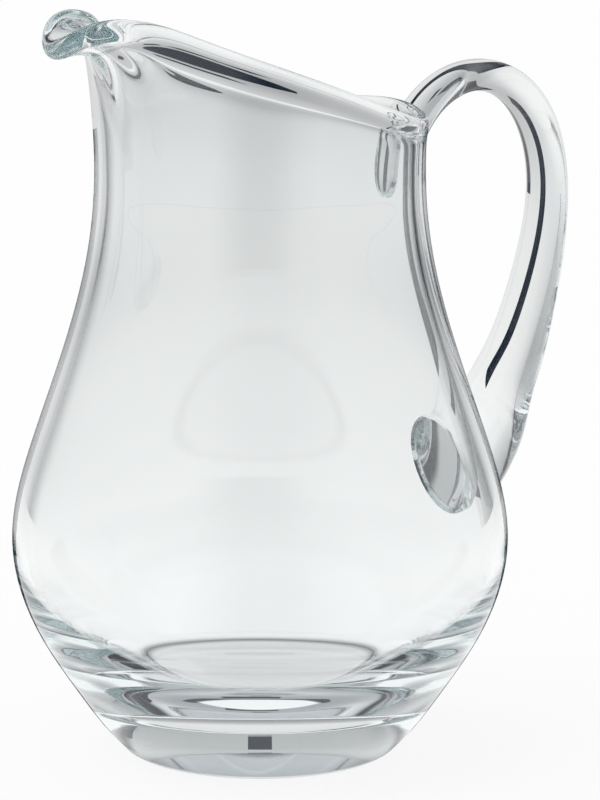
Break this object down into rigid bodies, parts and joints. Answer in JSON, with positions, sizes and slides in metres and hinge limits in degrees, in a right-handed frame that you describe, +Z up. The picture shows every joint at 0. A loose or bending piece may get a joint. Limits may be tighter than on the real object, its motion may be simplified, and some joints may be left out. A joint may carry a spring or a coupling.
{
  "type": "juice jug",
  "caption": "Clear glass juice jug with a pear-shaped belly, a heavy flat base, a slanting rim drawn out into a pouring spout, and a looped glass handle pressed on hot.",
  "frame": {"origin": "centre of the flat underside, on the table plane", "axes": "+Z up through the mouth, +X towards the handle, so the spout is at -X"},
  "size_m": [0.1812, 0.1442, 0.2186],
  "materials": {
    "blown_glass": "fire-polished, clear",
    "drawn_glass": "fire-polished, clear"
  },
  "bodies": {
    "root": {"jug_body": "blown_glass", "handle": "drawn_glass"}
  },
  "joints": []
}
